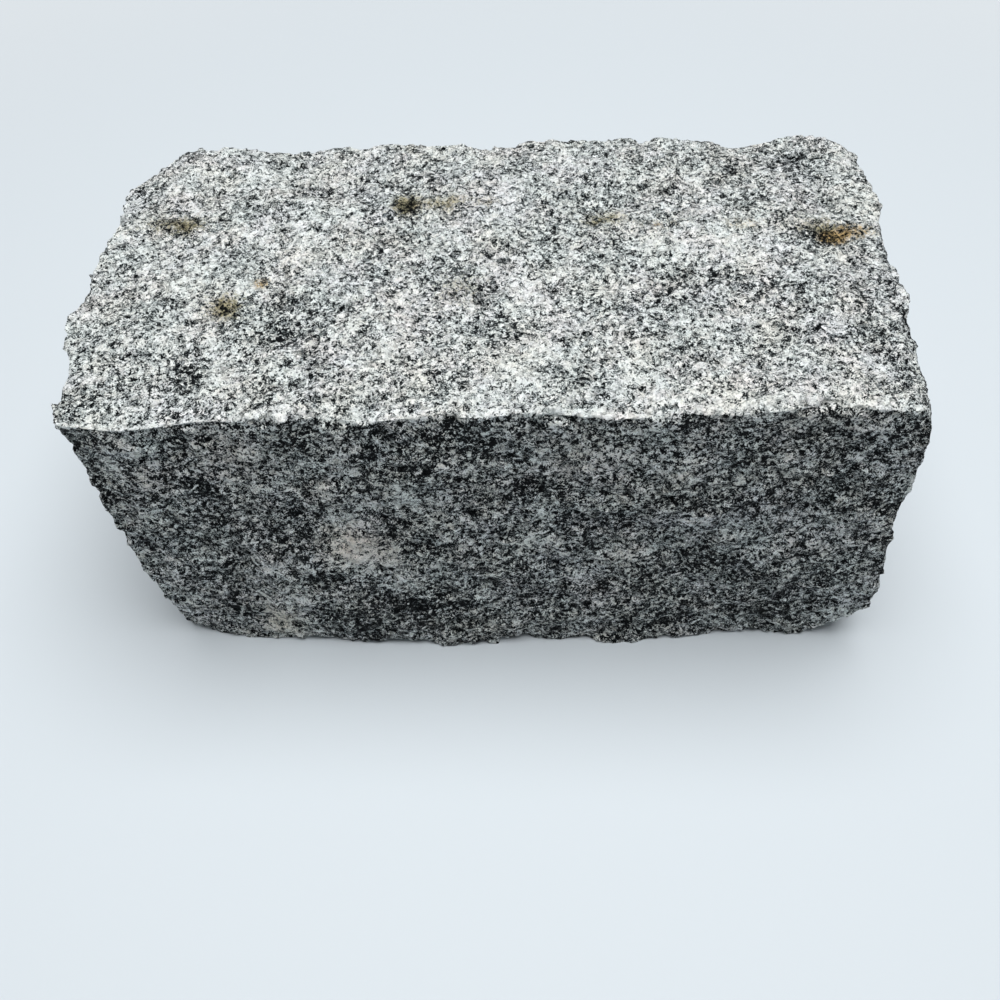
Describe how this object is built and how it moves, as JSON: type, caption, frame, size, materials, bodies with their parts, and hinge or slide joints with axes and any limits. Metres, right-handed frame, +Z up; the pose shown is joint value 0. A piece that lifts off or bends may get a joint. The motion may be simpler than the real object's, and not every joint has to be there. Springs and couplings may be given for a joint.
{
  "type": "granite belgian block",
  "caption": "Rough split granite paving block with a level bed, for kerbs, edging and setts.",
  "frame": {"origin": "on the bed plane, under the middle of the block's box", "axes": "+X along the block's length, +Y from its front face to its back face, +Z up from the bed"},
  "size_m": [0.2614, 0.1416, 0.1182],
  "materials": {
    "granite": "split grey granite with dark mica flecks"
  },
  "bodies": {
    "root": {"granite_block": "granite"}
  },
  "joints": []
}
